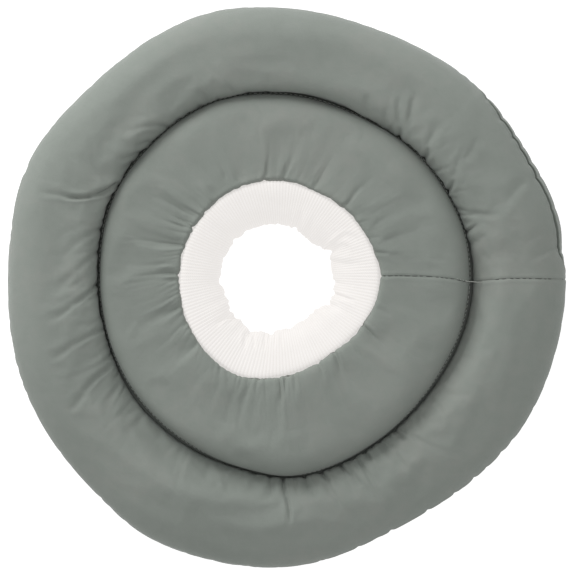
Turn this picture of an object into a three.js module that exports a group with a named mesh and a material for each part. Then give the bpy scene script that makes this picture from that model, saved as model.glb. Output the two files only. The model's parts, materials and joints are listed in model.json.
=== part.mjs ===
// Padded ring collar for a cat or a small dog, lying flat with its front face up.
// Two stuffed fabric tubes lie one inside the other. A narrow stitched strip joins them, and a
// rib-knit cuff gathered on elastic lines the neck hole. Millimetres, +Z up, the surface that the
// collar lies on is Z = 0, and the middle of the collar's footprint is the origin.
import * as THREE from 'three';
import { ParametricGeometry } from 'three/addons/geometries/ParametricGeometry.js';

// ---- driving dimensions -----------------------------------------------------------------------
const STEPS = 84;               // sections round the collar
const SEAM_HEIGHT = 19.5;       // height of the plane in which all the pieces are sewn together
const OUTER_CROWN = 0.90;       // outer tube: crown above the seam plane, for each mm of half width
const INNER_CROWN = 0.75;       // inner tube: the same
const BELLY = 22.2;             // tubes: depth of the round underside, cut flat by the surface
const FULLNESS = 2.1;           // tubes: superellipse power, 2 is an ellipse, more is fuller
const CUFF_SIDE_FULLNESS = 4;   // inner tube: the same over the cuff's seam, where it stays nearly flat
const CHANNEL_GAP = 2.8;        // clear width between the tubes' walls over the stitched strip
const GROOVE = 2.35;            // how far the sewn line draws a tube's wall in at the seam plane
const STRIP_WIDTH = 6.2;        // stitched strip: width, its edges lie in the tubes' grooves
const STRIP_RIDGE = 2.6;        // stitched strip: thickness at the ridge along its middle
const STRIP_EDGE = 1.0;         // stitched strip: thickness at its edges
const CUFF_CENTRE = { x: -4.6, y: 6.5 };   // the neck hole lies a little off the collar's centre
const CUFF_THICK = 37.0;        // knitted cuff: thickness at the inner tube
const HOLE_THICK = 21.5;        // knitted cuff: thickness of its gathered edge round the neck hole
const CUFF_TUCK = 1.7;          // knitted cuff: how far its sewn edge enters the inner tube's groove
const CUFF_CLEAR = 0.4;         // knitted cuff: clear of the tube's wall above and below that
const PAD_SIDES = 20;           // facets round a tube

// Outline of the tubes, one row for each section, as radii from the collar's centre.
// deg: direction, counterclockwise from +X.  rim: outer edge.  channel: middle of the strip.
const TUBE_SECTIONS = [
  { deg: 0, rim: 150.2, channel: 99.1 },
  { deg: 15, rim: 151.3, channel: 100.8 },
  { deg: 30, rim: 148.7, channel: 100.4 },
  { deg: 45, rim: 149.0, channel: 100.3 },
  { deg: 65, rim: 147.5, channel: 100.1 },
  { deg: 75, rim: 147.8, channel: 101.6 },
  { deg: 90, rim: 150.8, channel: 104.6 },
  { deg: 105, rim: 153.9, channel: 107.2 },
  { deg: 115, rim: 153.2, channel: 107.9 },
  { deg: 135, rim: 151.7, channel: 106.5 },
  { deg: 155, rim: 154.9, channel: 105.9 },
  { deg: 170, rim: 151.7, channel: 103.5 },
  { deg: 180, rim: 150.5, channel: 102.0 },
  { deg: 200, rim: 151.6, channel: 100.9 },
  { deg: 225, rim: 151.2, channel: 100.3 },
  { deg: 240, rim: 154.1, channel: 100.3 },
  { deg: 255, rim: 152.5, channel: 100.4 },
  { deg: 270, rim: 150.7, channel: 101.9 },
  { deg: 277, rim: 148.8, channel: 101.0 },
  { deg: 290, rim: 143.6, channel: 97.8 },
  { deg: 300, rim: 142.7, channel: 96.3 },
  { deg: 315, rim: 144.7, channel: 95.4 },
  { deg: 330, rim: 147.6, channel: 95.4 },
  { deg: 345, rim: 148.7, channel: 97.3 },
];

// Outline of the cuff, one row for each section, as radii from the neck hole's centre.
// seam: where the knit is sewn to the inner tube.  hole: the cuff's free inner edge.
const CUFF_SECTIONS = [
  { deg: 0, seam: 54.6, hole: 29.0 },
  { deg: 25, seam: 51.5, hole: 28.0 },
  { deg: 45, seam: 50.4, hole: 24.9 },
  { deg: 65, seam: 49.2, hole: 25.4 },
  { deg: 90, seam: 51.2, hole: 27.4 },
  { deg: 135, seam: 51.9, hole: 29.2 },
  { deg: 180, seam: 53.3, hole: 30.8 },
  { deg: 205, seam: 54.9, hole: 30.2 },
  { deg: 225, seam: 56.2, hole: 31.7 },
  { deg: 250, seam: 57.6, hole: 31.9 },
  { deg: 270, seam: 54.3, hole: 29.3 },
  { deg: 295, seam: 51.0, hole: 27.4 },
  { deg: 315, seam: 51.0, hole: 27.0 },
  { deg: 335, seam: 53.1, hole: 30.1 },
];

// Main folds of the tubes' front face, one row for each fold. deg: where it leaves the sewn edge.
// turn: how far round it has swung at its end.  reach: its length, as a part of the tube's width.
// deep: depth in mm.  wide: half width in degrees.
const OUTER_FOLDS = [
  { deg: 18.5, turn: 7, reach: 0.75, deep: 2.0, wide: 3.4 },
  { deg: 36, turn: 5, reach: 0.85, deep: 1.4, wide: 3.2 },
  { deg: 54, turn: 4, reach: 0.80, deep: 1.8, wide: 3.2 },
  { deg: 133, turn: 6, reach: 0.45, deep: 1.4, wide: 3.2 },
  { deg: 150, turn: 9, reach: 0.95, deep: 3.0, wide: 3.4 },
  { deg: 171, turn: 8, reach: 0.85, deep: 1.6, wide: 3.6 },
  { deg: 181, turn: 7, reach: 0.80, deep: 2.4, wide: 3.2 },
  { deg: 193, turn: 3, reach: 0.80, deep: 1.6, wide: 3.2 },
  { deg: 205, turn: 4.5, reach: 0.75, deep: 1.6, wide: 3.2 },
  { deg: 270, turn: -0.5, reach: 0.90, deep: 2.6, wide: 3.2 },
  { deg: 284, turn: 1, reach: 0.50, deep: 1.8, wide: 4.0 },
  { deg: 306, turn: 0.5, reach: 0.40, deep: 1.4, wide: 3.6 },
];
const INNER_FOLDS = [
  { deg: 24, turn: 0, reach: 0.55, deep: 1.0, wide: 4.0 },
  { deg: 74, turn: -5, reach: 0.70, deep: 1.2, wide: 4.0 },
  { deg: 101, turn: -4, reach: 0.45, deep: 1.2, wide: 3.4 },
  { deg: 147, turn: -1, reach: 0.75, deep: 1.8, wide: 3.4 },
  { deg: 158, turn: 5, reach: 0.75, deep: 1.6, wide: 3.4 },
  { deg: 173, turn: 2, reach: 0.60, deep: 1.8, wide: 3.4 },
  { deg: 191, turn: 4, reach: 0.65, deep: 1.2, wide: 3.6 },
  { deg: 266, turn: 0, reach: 0.60, deep: 1.6, wide: 3.4 },
  { deg: 304, turn: -4, reach: 0.45, deep: 1.4, wide: 3.4 },
  { deg: 333, turn: -4, reach: 0.40, deep: 1.2, wide: 3.4 },
];
// Tucks of the cuff's free edge, where the elastic bunches the knit.
const CUFF_TUCKS = [
  { deg: 24, deep: 2.4, wide: 4.5 },
  { deg: 73, deep: 1.2, wide: 4.5 },
  { deg: 141, deep: 1.0, wide: 4.5 },
  { deg: 188, deep: 1.2, wide: 4.5 },
  { deg: 217, deep: 1.6, wide: 4.5 },
  { deg: 244, deep: 1.4, wide: 4.5 },
  { deg: 263, deep: 1.0, wide: 4.5 },
  { deg: 332, deep: 1.6, wide: 5.0 },
];

// ---- outlines ---------------------------------------------------------------------------------
const RAD = Math.PI / 180;

// Smooth closed curve through a table's rows, read at any direction.
function around(rows, column) {
  const n = rows.length;
  const at = (i) => rows[((i % n) + n) % n];
  const deg = (i) => at(i).deg + 360 * Math.floor(i / n);
  const slope = (i) => (at(i + 1)[column] - at(i - 1)[column]) / (deg(i + 1) - deg(i - 1));
  return (direction) => {
    const d = ((direction % 360) + 360) % 360;
    let i = n - 1;
    while (i > 0 && rows[i].deg > d) i -= 1;
    const span = deg(i + 1) - deg(i);
    const t = (d - deg(i)) / span;
    return (2 * t ** 3 - 3 * t ** 2 + 1) * at(i)[column]
      + (t ** 3 - 2 * t ** 2 + t) * span * slope(i)
      + (3 * t ** 2 - 2 * t ** 3) * at(i + 1)[column]
      + (t ** 3 - t ** 2) * span * slope(i + 1);
  };
}

const rimRadius = around(TUBE_SECTIONS, 'rim');
const channelRadius = around(TUBE_SECTIONS, 'channel');
const seamRadius = around(CUFF_SECTIONS, 'seam');
const holeRadius = around(CUFF_SECTIONS, 'hole');

const fromCollar = (deg, r) => new THREE.Vector2(r * Math.cos(deg * RAD), r * Math.sin(deg * RAD));
const fromCuff = (deg, r) => fromCollar(deg, r).add(new THREE.Vector2(CUFF_CENTRE.x, CUFF_CENTRE.y));
const turnBetween = (a, b) => ((((a - b) % 360) + 540) % 360) - 180;
const smooth = (lo, hi, x) => THREE.MathUtils.smoothstep(x, lo, hi);
const power = (x, p) => Math.sign(x) * Math.abs(x) ** p;

// Depth of the folds at a direction and at a part of the way across the tube from the sewn edge.
function foldDepth(folds, deg, across) {
  let depth = 0;
  for (const f of folds) {
    const away = turnBetween(deg, f.deg + f.turn * Math.min(across / f.reach, 1)) / f.wide;
    const fade = 1 - smooth(0.55 * f.reach, 1.1 * f.reach, across);
    depth += f.deep * fade * Math.exp(-away * away);
  }
  return depth;
}

// ---- solids -----------------------------------------------------------------------------------
// A stuffed tube between two closed curves. Its section is a superellipse, flat where it rests,
// and drawn in to a groove at the seam plane along each sewn side.
function tube({ inner, outer, crown, fullIn, grooveIn, grooveOut, folds }) {
  const firstSide = Math.cos((2 * Math.PI) / PAD_SIDES);
  const surface = (u, v, target) => {
    const deg = 360 * u;
    const a = inner(deg);
    const b = outer(deg);
    const half = a.distanceTo(b) / 2;
    const phi = 2 * Math.PI * v;
    const c = Math.cos(phi);
    const s = Math.sin(phi);
    const groove = c > 0 ? grooveOut : grooveIn;
    const full = c > 0 ? FULLNESS : fullIn;
    let x = half * power(groove > 0 ? Math.min(1, Math.abs(c) / firstSide) : Math.abs(c), 2 / full);
    if (groove > 0 && Math.abs(s) < 1e-6) x -= groove;
    x *= Math.sign(c);
    let z = power(s, 2 / full) * (s > 0 ? crown * half : BELLY);
    if (s > 1e-6) {
      const across = 0.5 + x / (2 * half);
      const shrink = 1 - foldDepth(folds, deg, across) / (crown * half);
      x *= 1 - (1 - shrink) * 0.5;
      z *= shrink;
    }
    const t = 0.5 + x / (2 * half);
    target.set(a.x + (b.x - a.x) * t, a.y + (b.y - a.y) * t, Math.max(0, SEAM_HEIGHT + z));
  };
  return new ParametricGeometry(surface, STEPS, PAD_SIDES);
}

const outerTube = tube({
  inner: (deg) => fromCollar(deg, channelRadius(deg) + CHANNEL_GAP / 2),
  outer: (deg) => fromCollar(deg, rimRadius(deg)),
  crown: OUTER_CROWN, fullIn: FULLNESS, grooveIn: GROOVE, grooveOut: 0, folds: OUTER_FOLDS,
});

const innerTube = tube({
  inner: (deg) => fromCuff(deg, seamRadius(deg)),
  outer: (deg) => fromCollar(deg, channelRadius(deg) - CHANNEL_GAP / 2),
  crown: INNER_CROWN, fullIn: CUFF_SIDE_FULLNESS, grooveIn: GROOVE, grooveOut: GROOVE, folds: INNER_FOLDS,
});

// The stitched strip: a thin band with a ridge along its middle.
const STRIP_PROFILE = [
  { across: 0.5, height: STRIP_EDGE / 2 },
  { across: 0.0, height: STRIP_RIDGE / 2 },
  { across: -0.5, height: STRIP_EDGE / 2 },
  { across: -0.5, height: -STRIP_EDGE / 2 },
  { across: 0.0, height: -STRIP_RIDGE / 2 },
  { across: 0.5, height: -STRIP_EDGE / 2 },
];
const strip = new ParametricGeometry((u, v, target) => {
  const corner = STRIP_PROFILE[Math.round(v * STRIP_PROFILE.length) % STRIP_PROFILE.length];
  const p = fromCollar(360 * u, channelRadius(360 * u) + corner.across * STRIP_WIDTH);
  target.set(p.x, p.y, SEAM_HEIGHT + corner.height);
}, STEPS, STRIP_PROFILE.length);

// The gathered cuff: it carries the inner tube's surface on to the neck hole, round at the hole, as
// thick as the tube at its sewn edge, and with a narrow tongue that enters the tube's groove.
const CUFF_PROFILE = [
  { across: 1.00, tongue: 1, height: 0.05 },
  { across: 1.00, tongue: 0, height: 0.30 },
  { across: 0.94, tongue: 0, height: 0.88 },
  { across: 0.66, tongue: 0, height: 1.00 },
  { across: 0.26, tongue: 0, height: 0.92 },
  { across: 0.05, tongue: 0, height: 0.55 },
];
const cuffOutline = [...CUFF_PROFILE, { across: 0, tongue: 0, height: 0 },
  ...CUFF_PROFILE.slice().reverse().map((p) => ({ ...p, height: -p.height }))];
const cuff = new ParametricGeometry((u, v, target) => {
  const deg = 360 * u;
  let hole = holeRadius(deg);
  for (const t of CUFF_TUCKS) hole += t.deep * Math.exp(-((turnBetween(deg, t.deg) / t.wide) ** 2));
  const corner = cuffOutline[Math.round(v * cuffOutline.length) % cuffOutline.length];
  const edge = seamRadius(deg) - CUFF_CLEAR;
  const r = hole + corner.across * (edge - hole) + corner.tongue * (CUFF_CLEAR + CUFF_TUCK);
  const thick = HOLE_THICK + (CUFF_THICK - HOLE_THICK) * corner.across;
  const p = fromCuff(deg, r);
  target.set(p.x, p.y, SEAM_HEIGHT + corner.height * thick / 2);
}, STEPS, cuffOutline.length);

// ---- assembly ---------------------------------------------------------------------------------
const shell = (name) => new THREE.MeshStandardMaterial({ name, color: 0x7b827b, roughness: 0.78, metalness: 0 });
const knit = new THREE.MeshStandardMaterial({ name: 'rib_knit', color: 0xeee9e4, roughness: 0.9, metalness: 0 });

const collar = new THREE.Group();
const pieces = [
  { name: 'outer_ring', geometry: outerTube, material: shell('shell_outer') },
  { name: 'inner_ring', geometry: innerTube, material: shell('shell_inner') },
  { name: 'channel_seam', geometry: strip, material: shell('shell_seam') },
  { name: 'neck_cuff', geometry: cuff, material: knit },
];
for (const { name, geometry, material } of pieces) {
  const mesh = new THREE.Mesh(geometry, material);
  mesh.name = name;
  collar.add(mesh);
}

// Put the middle of the footprint on the origin.
const footprint = new THREE.Box3().setFromObject(collar, true);
collar.position.set(-(footprint.min.x + footprint.max.x) / 2, -(footprint.min.y + footprint.max.y) / 2, -footprint.min.z);

export default collar;
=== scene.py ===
import json
import math

import bpy
import numpy as np
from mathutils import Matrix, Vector
from mathutils.bvhtree import BVHTree

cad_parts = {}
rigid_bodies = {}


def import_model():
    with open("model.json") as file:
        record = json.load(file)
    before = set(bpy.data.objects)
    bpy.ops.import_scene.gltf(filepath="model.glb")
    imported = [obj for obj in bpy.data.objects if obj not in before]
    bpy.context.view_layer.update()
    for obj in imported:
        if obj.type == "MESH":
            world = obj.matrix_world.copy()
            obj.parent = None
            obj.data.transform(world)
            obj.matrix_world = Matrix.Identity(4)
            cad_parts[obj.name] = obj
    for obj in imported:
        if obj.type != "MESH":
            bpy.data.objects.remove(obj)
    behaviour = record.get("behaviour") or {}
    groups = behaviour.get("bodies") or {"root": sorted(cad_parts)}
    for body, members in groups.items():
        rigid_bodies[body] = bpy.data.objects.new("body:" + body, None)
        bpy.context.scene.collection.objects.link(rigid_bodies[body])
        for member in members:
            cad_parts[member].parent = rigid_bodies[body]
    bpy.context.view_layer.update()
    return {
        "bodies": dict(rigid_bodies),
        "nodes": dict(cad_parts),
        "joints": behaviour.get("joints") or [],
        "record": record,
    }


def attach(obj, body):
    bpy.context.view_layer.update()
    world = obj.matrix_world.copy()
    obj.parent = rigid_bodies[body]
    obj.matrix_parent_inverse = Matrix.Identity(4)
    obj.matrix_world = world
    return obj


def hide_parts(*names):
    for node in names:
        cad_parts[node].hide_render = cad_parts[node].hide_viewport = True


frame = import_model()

# Padded ring collar, front face up. Lengths here are millimetres until a mesh is made.
# Directions (deg) run counterclockwise from +X. Fold tables give picture coordinates, which
# to_plan() turns into places on the collar.

PX = 0.54                    # millimetres for one picture unit at the height of the seams
PICTURE_CENTRE = (287.0, 287.5)
SHIFT = np.array([0.135, -0.224])      # puts the middle of the footprint on the origin
SEAM_Z = 19.5
BELLY = 22.2
OUTER_CROWN = 0.90
INNER_CROWN = 0.78
FULLNESS = 2.15              # superellipse power of a tube's section at its rim
CHANNEL_GROOVE = 3.2         # how far the sewn line draws a tube's wall in
CHANNEL_REACH = 4.4          # how far above and below the strip that is felt
SAG_REACH = 18.0             # how far from the channel the outer tube sags where it does
BULGE_BACK = 1.05            # how far the bulge over the strip lies back from the section's end
CUFF_FULL = 16.0             # the inner tube's power beside the cuff, where it stays nearly flat
CUFF_DROP = 0.03             # and how far it falls towards the cuff, as a part of the crown
CUFF_GROOVE = 2.4
CUFF_TALL = 36.6             # thickness of the knitted cuff at the inner tube, and at the neck hole
HOLE_TALL = 21.5
RIB_DEEP = 0.15              # depth of the cuff's ribs, as a part of their pitch
CUFF_CENTRE = np.array([-4.6, 6.5])
RIBS = 176
CAMERA_Z = 2600.0
SOLVER_SCALE = 10.0          # the cloth solver works on a copy this much larger
SOLVER = dict(mass=0.3, tension=15.0, compression=15.0, shear=3.0, bending=0.05, slack=0.06, pressure=0.15, frames=20, gain=0.85)
RELIEF_CAP = 1.6


def table(text):
    """A short table with named columns, as arrays."""
    rows = [line.split() for line in text.strip().splitlines()]
    return {name: np.array([float(r[i]) for r in rows[1:]]) for i, name in enumerate(rows[0])}


TUBES = table("""
deg  rim    channel
0    150.2    98.1
15   151.3    99.8
30   148.7   100.1
45   149.0   100.7
65   147.5   100.1
75   147.8   101.3
90   150.8   104.1
105  153.9   106.7
115  153.2   107.6
135  151.7   106.3
155  154.9   105.2
170  151.7   102.2
180  150.5   100.8
200  151.6    99.9
225  151.2    99.3
240  154.1    99.2
255  152.5    99.2
270  150.7   101.0
277  148.8   100.3
290  143.6    97.3
300  142.7    95.4
315  144.7    93.9
330  147.6    94.0
345  148.7    96.0
""")

CUFF = table("""
deg  seam  hole
0    54.6  29.0
25   51.5  28.0
45   50.4  24.9
65   49.2  25.4
90   51.2  27.4
135  51.9  29.2
180  53.3  30.8
205  54.9  30.2
225  56.2  31.7
250  57.6  31.9
270  54.3  29.3
295  51.0  27.4
315  51.0  27.0
335  53.1  30.1
""")

# How far above the equator the rim seam lies, as an angle of the tube's section, and how open it
# is. On the right the tube has rolled, and a strip of the back panel shows outside the seam.
RIM_SEAM = table("""
deg  up    open
0    -4    0.55
3.2  -3    0.55
4.3  4     0.8
5.4  14    1.1
6.8  23    1.4
9    28    1.6
13   30    1.8
17   30    1.9
22   31    2.4
27   30    2.5
31   29    2.4
36   28    2.2
39   27    2.0
42   24    1.8
44.5 17    1.5
47   7     1.0
51   -3    0.55
90   -5    0.5
180  -6    0.5
250  -5    0.5
300  -1    0.6
330  -3    0.6
352  -5    0.55
""")

# The channel: clear width between the bulges of the two tubes, how far the outer tube's wall leans
# back, how much the outer tube sags beside it, how tall its crown stands (as a part of the tallest),
# how far the crown lies towards the channel (mm), and how full the sections are (superellipse
# power): the outer tube beside the channel and at its rim, and the inner tube beside the channel.
CHANNEL = table("""
deg  gap   lean  sag   tall  skew  outer  edge  inner
0    2.0   1.6   0.24  0.82  3.0   2.3    2.05  3.2
8    2.0   1.6   0.18  0.86  2.5   2.4    2.10  3.2
14   1.5   1.3   0.08  0.92  2.0   2.5    2.15  3.1
22   1.2   1.0   0.05  0.96  1.2   2.6    2.15  2.9
38   1.3   0.6   0.02  1.00  0.0   3.2    2.15  2.5
60   1.4   0.3   0.00  1.00  0.0   3.5    2.15  2.7
75   1.5   0.1   0.00  1.00  0.0   3.7    2.15  3.0
100  1.6   0.0   0.00  1.00  0.0   3.6    2.15  2.7
120  1.6   0.0   0.00  1.00  0.0   3.4    2.15  2.9
140  1.8   0.0   0.00  1.00  0.0   3.3    2.15  3.1
155  2.4   0.0   0.00  1.00  0.0   3.4    2.15  4.0
172  3.0   0.0   0.00  1.00  0.0   3.4    2.15  4.8
190  3.0   0.0   0.02  0.99  0.0   3.2    2.15  5.0
210  2.7   0.2   0.24  0.90  0.5   2.3    2.15  4.9
235  1.9   0.5   0.43  0.80  3.0   2.2    2.05  4.3
255  0.9   0.5   0.46  0.73  4.5   2.2    1.90  3.6
270  0.5   0.4   0.39  0.71  5.5   2.4    1.78  3.1
283  0.45  0.4   0.38  0.69  6.0   2.4    1.70  2.8
300  0.6   0.5   0.37  0.68  6.2   2.3    1.68  2.9
320  1.0   0.7   0.34  0.68  6.2   2.2    1.68  3.0
335  1.6   1.2   0.30  0.71  5.8   2.2    1.70  3.1
350  1.9   1.5   0.28  0.76  4.5   2.2    1.85  3.2
""")


# Puckers along the sewn edges, by stretches: how many, their depth, half width and length in mm,
# and how many degrees they swing round for each mm of length.
OUTER_GATHERS = table("""
lo   hi   count  deep  wide  long  swing
-8   20   8      0.22  1.1   12    0.10
20   62   16     0.36  1.0   20    -0.06
62   112  16     0.30  1.1   14    0.10
112  140  12     0.42  1.1   16    0.12
140  170  11     0.42  1.2   24    0.26
170  212  11     0.36  1.3   32    0.30
212  250  9      0.28  1.3   25    0.12
250  268  8      0.40  1.1   16    0.00
268  312  20     0.58  1.0   19    0.05
312  352  16     0.35  1.1   15    -0.05
""")
INNER_GATHERS = table("""
lo   hi   count  deep  wide  long  swing
-10  30   8      0.20  1.2   12    0.00
30   62   9      0.24  1.3   17    -0.10
62   104  11     0.18  1.3   18    -0.20
104  140  10     0.20  1.3   17    0.10
140  196  22     0.42  1.1   20    0.18
196  246  15     0.30  1.3   17    0.25
246  292  16     0.42  1.2   20    -0.05
292  350  14     0.26  1.3   16    -0.15
""")
INNER_WALL_GATHERS = table("""
lo   hi   count  deep  wide  long  swing
0    100  22     0.16  1.5   7     0.05
100  250  34     0.22  1.5   8     0.05
250  360  26     0.20  1.5   7     0.00
""")

# Notches of the rim, where the seam puckers.
RIM_NOTCHES = table("""
deg    deep  wide
7.4    0.9   0.8
16.5   0.6   1.2
23.7   0.9   1.0
27.2   1.0   1.1
30.8   0.8   0.9
33.7   0.9   0.9
38.2   1.0   1.1
43.4   0.9   1.0
51.0   0.4   0.8
147.0  0.3   1.0
187.0  0.4   0.9
196.5  0.4   0.8
216.0  0.3   0.8
228.5  0.4   1.0
249.0  0.4   0.8
262.0  0.4   0.8
277.0  0.5   0.8
285.4  0.7   0.8
293.3  0.8   0.8
302.3  1.0   0.9
309.2  0.8   0.8
314.5  0.8   0.8
318.0  0.6   0.7
322.6  0.9   0.8
326.0  0.6   0.8
334.0  0.4   0.8
""")

# Folds of the outer tube: three points in picture units from the sewn end to the faint end,
# depth and half width in mm, and how pointed the valley is (1 sharp, 2 round).
OUTER_FOLDS = table("""
x0     y0     x1     y1     x2     y2     deep   wide   point
118    183    104    192.5  84     197    3.3    0.92   1.1
92     196.6  76     198.2  58     196.0  2.5    0.84   1.15
64     196    48     193.5  36     191.5  0.68   1.36   1.6
120    178    100    186    84     188    -1     3.5    2
103    229    92     233    78     242.5  0.85   1.29   1.5
80     241    70     250    60     263    0.51   1.77   1.8
99     251    86     262.5  70     277    0.68   1.21   1.6
72     275    62     287    52     300    0.51   1.77   1.8
100    283    84     297.5  67     310    1.24   0.88   1.2
70     308    60     316    50     323    0.77   1.36   1.5
104    329    86     338    67     350    0.81   1.04   1.5
70     348    60     355    50     362    0.59   1.5    1.8
108    345    96     357    84     369    0.42   1.5    1.8
110    368    94     381.5  82     398    0.93   1.04   1.4
84     395    78     403    70     414    0.59   1.63   1.8
119    386    111    396    101    409    0.42   1.63   1.8
166    127    150    126    133    130    0.93   0.99   1.3
140    128.5  128    131.5  118    136    0.51   1.63   1.8
150    142    143    144.5  134    147    0.87   0.99   1.3
142    153    130    157.5  115    161    0.93   1.04   1.3
134    162    128    166.5  119    170    0.81   0.99   1.4
233    93     219    77     206    63     0.38   1.09   1.6
208    104    203    96     196    88     0.42   1.36   1.8
456    236    468    230.5  480    222    1.15   0.86   1.3
481    221    494    208    508    196    0.22   1.9    2.0
466    246    478    240    490    232    0.59   1.77   1.8
444    193    450.5  186.5  454    178    1.12   0.86   1.3
454    178    459    160    470    140    0.34   1.59   1.9
466    158    473    146    478    134    0.59   1.5    1.6
421    161    426.5  153    428    144    1.05   1.1    1.4
428    146    433    134    441    122    0.51   1.9    1.8
396    142    399.5  133    399    123    1.36   1.1    1.3
399.5  125    397.5  108    402    94     0.74   1.26   1.4
409    119    412    103    416    88     0.77   1.36   1.5
384    124    386    112    391    98     0.51   1.77   1.8
365    112    367    101    371    90     0.34   1.77   1.8
561    246    542    255    524    265    0.50   1.2    1.6
543    234    530    240    518    250    0.34   2.04   1.8
524    182    509    198    496    214    0.68   2.45   1.9
284    470    283.6  484    288.4  500    2.51   0.88   1.15
287    496    289.6  508    291    527    1.51   0.88   1.3
270.5  470    271    483    272.5  500    1.00   1.21   1.6
256    470    255    480    255.5  496    0.57   1.63   1.8
301    469    305    477    309    494    1.42   1.1    1.4
316    465    323    473.5  332    483    1.42   1.04   1.4
322    482    328    489    334    500    0.69   1.5    1.8
334    457    341.5  465.5  350    472    1.67   1.04   1.3
347    470    355    478    362    489    0.69   1.63   1.8
361    445    367    453.5  374    460    1.34   0.99   1.4
356    458    368    472    378    487    0.80   1.5    1.7
376    436    383    444    389    449    0.92   1.04   1.5
392    426    400    434.5  411    442    1.34   1.04   1.4
394    452    402    463    409    475    0.46   1.77   1.8
416    408    424    414    432    419    0.57   1.5    1.8
176    443    168    452    160    463    0.42   1.77   1.8
212    461    208    474    206    488    0.38   1.77   1.8
143    415    133    427    123    440    0.34   1.9    1.9
""")

# Folds of the inner tube, gathers that start at the cuff and a few soft ones.
INNER_FOLDS = table("""
x0     y0     x1     y1     x2     y2     deep   wide   point
183    244    160    243    136    238    0.96   1.51   1.5
160    246    150    246.5  140    246    0.4    1.3    1.7
180    275.5  168    273.5  154    275    1.2    1.01   1.2
180    281    170    281    158    280    0.4    1.01   1.6
195    229    184    222    170    214    1.12   1.01   1.25
183    212    166    201    146    194    0.72   1.37   1.5
206    214    199    205    189    196    0.48   1.22   1.6
226    178    222    166    216    153    0.64   1.44   1.6
243    190    239    178    235    166    0.4    1.37   1.7
262    186    266.5  170    268    154    0.8    1.3    1.4
283    184    285    172    288    158    0.4    1.44   1.7
314    188    324    172    337    150    0.64   1.58   1.6
345    206    353    196    362    184    0.4    1.44   1.7
384    241    402    234    424    226    0.64   1.73   1.7
374    226    386    216    400    207    0.4    1.58   1.7
182    306    168    314    154    325    0.56   1.44   1.6
186    321    176    331    166    343    0.4    1.44   1.7
198    343    187    354    173    368    0.48   1.73   1.7
279    377    281    396    279.5  418    1.28   0.94   1.2
285    377    285    390    284    404    0.64   0.94   1.4
294    375    295    387    295.5  401    0.72   1.08   1.4
262    377    261    390    258    404    0.4    1.3    1.7
316    359    321    370    326    383    0.96   1.08   1.3
335    352    339    364    342    379    0.8    1.08   1.4
349    342    356    351    362    362    0.4    1.3    1.7
364    326    371    333    378    341    0.88   1.15   1.3
376    308    386    313    396    319    0.32   1.44   1.8
""")

# Deep folds of the knitted cuff, the same way.
CUFF_FOLDS = table("""
x0     y0     x1     y1     x2     y2     deep  wide  point
328.0  252.0  335.0  243.0  347.0  237.0  1.20  1.23  1.3
338.0  239.0  349.0  235.5  359.0  243.0  0.72  1.33  1.5
341.0  243.0  347.5  248.0  341.0  256.0  0.54  1.04  1.5
334.0  244.0  345.0  243.0  352.0  252.0  -0.54  1.71  2.0
329.0  260.0  345.0  263.5  369.0  262.5  0.60  1.52  1.5
333.0  256.0  343.0  258.0  356.0  257.0  -0.30  1.90  2.0
334.0  294.0  344.0  297.0  357.0  302.5  1.42  0.72  1.15
332.0  300.0  344.0  303.0  358.0  308.0  -0.36  2.09  2.0
329.0  307.0  340.0  304.0  352.0  306.0  0.36  1.52  1.6
294.0  230.0  299.0  220.0  300.0  209.0  0.84  1.42  1.3
268.0  203.0  280.0  207.0  289.0  214.0  0.78  3.42  1.8
304.0  234.0  311.0  222.0  314.0  210.0  0.36  1.52  1.6
234.0  240.0  222.0  231.0  210.0  225.0  0.60  2.09  1.6
247.0  232.0  244.0  221.0  240.0  210.0  0.36  1.90  1.7
221.0  278.0  208.0  277.0  196.0  276.0  0.24  1.61  1.6
238.0  318.5  226.0  318.0  216.0  327.0  1.50  0.72  1.15
236.0  324.0  226.0  326.0  218.0  334.0  -0.30  1.90  2.0
246.0  333.0  245.0  342.0  247.0  354.0  0.77  0.66  1.3
254.0  334.0  254.5  343.0  255.0  352.0  0.88  0.66  1.3
266.0  333.0  265.0  341.0  265.0  352.0  1.04  0.60  1.2
275.0  334.0  274.0  343.0  273.0  351.0  0.77  0.60  1.3
281.0  334.0  281.5  342.0  283.0  350.0  0.66  0.60  1.3
298.0  328.0  302.0  338.0  306.0  348.0  0.30  1.52  1.6
313.0  320.0  319.0  329.0  326.0  337.0  0.30  1.71  1.6
""")

# Notches of the cuff's free edge about the neck hole's centre.
CUFF_NOTCHES = table("""
deg   deep  wide
24.5  2.8   3.2
71    1.3   3.0
78    0.6   2.2
92    -0.4  2.5
141   1.0   3.4
152   -0.6  3.0
164   0.6   2.5
186   1.2   3.6
198   -0.7  3.2
208   -0.9  3.0
216.5 1.7   2.6
229   -0.6  2.6
243.5 1.8   2.6
252   -0.9  2.2
262   1.2   2.2
271   -0.6  2.2
283   0.5   2.2
304   0.8   2.6
318   -1.1  3.0
330.5 1.9   2.8
341   1.2   3.0
352   0.6   2.8
""")

# The radial closing seam, three stretches in picture units.
CLOSING_SEAM = table("""
x      y
377.0  276.2
398.0  275.8
420.0  276.0
440.0  277.4
455.0  279.2
468.0  282.0
480.0  281.0
510.0  278.4
540.0  278.8
568.0  279.3
""")


# ---- curves and fields ---------------------------------------------------------------------------

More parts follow.
